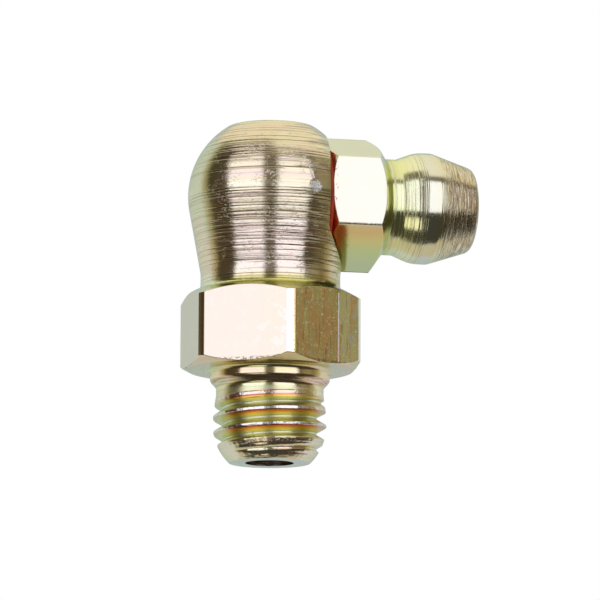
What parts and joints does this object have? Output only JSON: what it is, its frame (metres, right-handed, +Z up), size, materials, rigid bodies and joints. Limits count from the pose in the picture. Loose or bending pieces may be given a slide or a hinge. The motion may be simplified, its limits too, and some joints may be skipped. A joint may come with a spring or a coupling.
{
  "type": "grease nipple",
  "caption": "Right-angle lubrication fitting: a short threaded shank and hexagon under a rounded head, with a ball-check coupling nipple set in its side.",
  "frame": {"origin": "on the thread axis, in the plane of the hexagon's underside, which is the face that seats on the machine", "axes": "+Z runs up the thread axis towards the rounded head; +X is the direction in which the coupling nipple points"},
  "size_m": [0.0167, 0.0108, 0.0196],
  "materials": {
    "elbow_zinc": "iridescent yellow zinc plating on turned steel",
    "nipple_zinc": "iridescent yellow zinc plating on turned hexagon bar",
    "red_seal": "satin red",
    "ball_steel": "polished",
    "spring_steel": "drawn wire"
  },
  "bodies": {
    "fitting": {"elbow_body": "elbow_zinc", "nipple_body": "nipple_zinc", "seal_ring": "red_seal", "ball_spring": "spring_steel"},
    "ball": {"check_ball": "ball_steel"}
  },
  "joints": [
    {"name": "ball_lift", "type": "slide", "parent": "fitting", "child": "ball", "axis": [-1, 0, 0], "range_m": [0, 0.0009], "stiffness_N_per_m": 600, "springref_m": -0.0025, "deforming": ["ball_spring"]}
  ]
}
